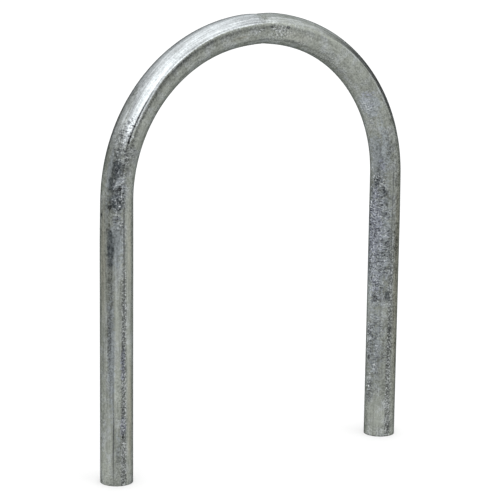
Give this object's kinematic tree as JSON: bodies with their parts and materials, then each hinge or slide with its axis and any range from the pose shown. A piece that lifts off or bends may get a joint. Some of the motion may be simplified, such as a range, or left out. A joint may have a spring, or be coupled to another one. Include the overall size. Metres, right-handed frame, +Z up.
{
  "type": "hoop bike rack",
  "caption": "Bicycle parking hoop of galvanised steel tube: straight legs under a round arch, butt-welded at the crown, open at the feet.",
  "frame": {"origin": "midway between the two feet, at the height of their sawn ends", "axes": "+X from the left leg to the right leg as seen from the front, -Y to the front, +Z up"},
  "size_m": [0.6604, 0.0617, 0.8413],
  "materials": {
    "galvanised_tube": "hot-dip galvanised, mottled, half bright and half dull grey",
    "galvanised_weld": "dressed weld under zinc, rougher and darker than the tube"
  },
  "bodies": {
    "root": {"left_bent_tube": "galvanised_tube", "right_bent_tube": "galvanised_tube", "crown_weld": "galvanised_weld"}
  },
  "joints": []
}
